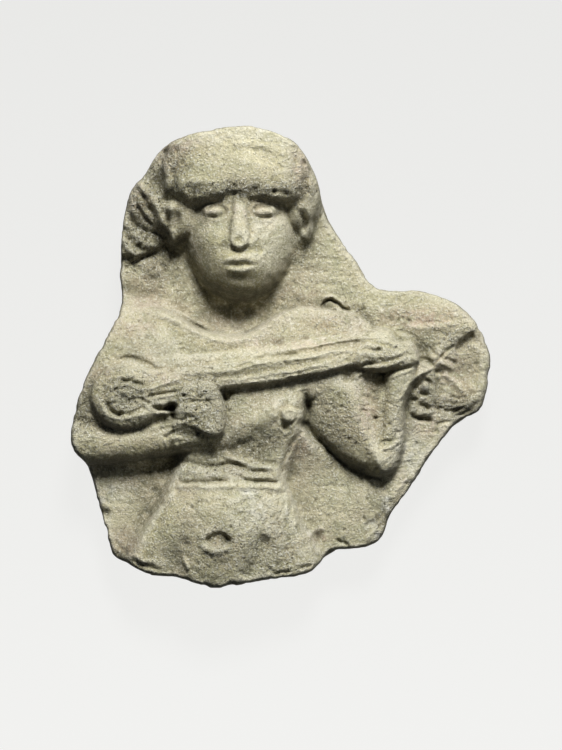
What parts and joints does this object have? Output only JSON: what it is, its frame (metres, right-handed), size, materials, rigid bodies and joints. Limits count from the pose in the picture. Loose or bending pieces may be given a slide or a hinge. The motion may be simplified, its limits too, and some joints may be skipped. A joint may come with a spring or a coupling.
{
  "type": "lute player relief plaque",
  "caption": "Broken fragment of a pressed, fired-clay relief plaque: a lute player from head to belly on a thick slab with a flat back.",
  "frame": {"origin": "centre of the part's box in X and Y, on the flat back", "axes": "+Y towards the top of the figure's head, +X to the side of the lute's neck end, +Z out of the relief"},
  "size_m": [0.0842, 0.0922, 0.0251],
  "materials": {
    "fired_clay": "matte, worn and grainy"
  },
  "bodies": {
    "root": {"relief_plaque": "fired_clay"}
  },
  "joints": []
}
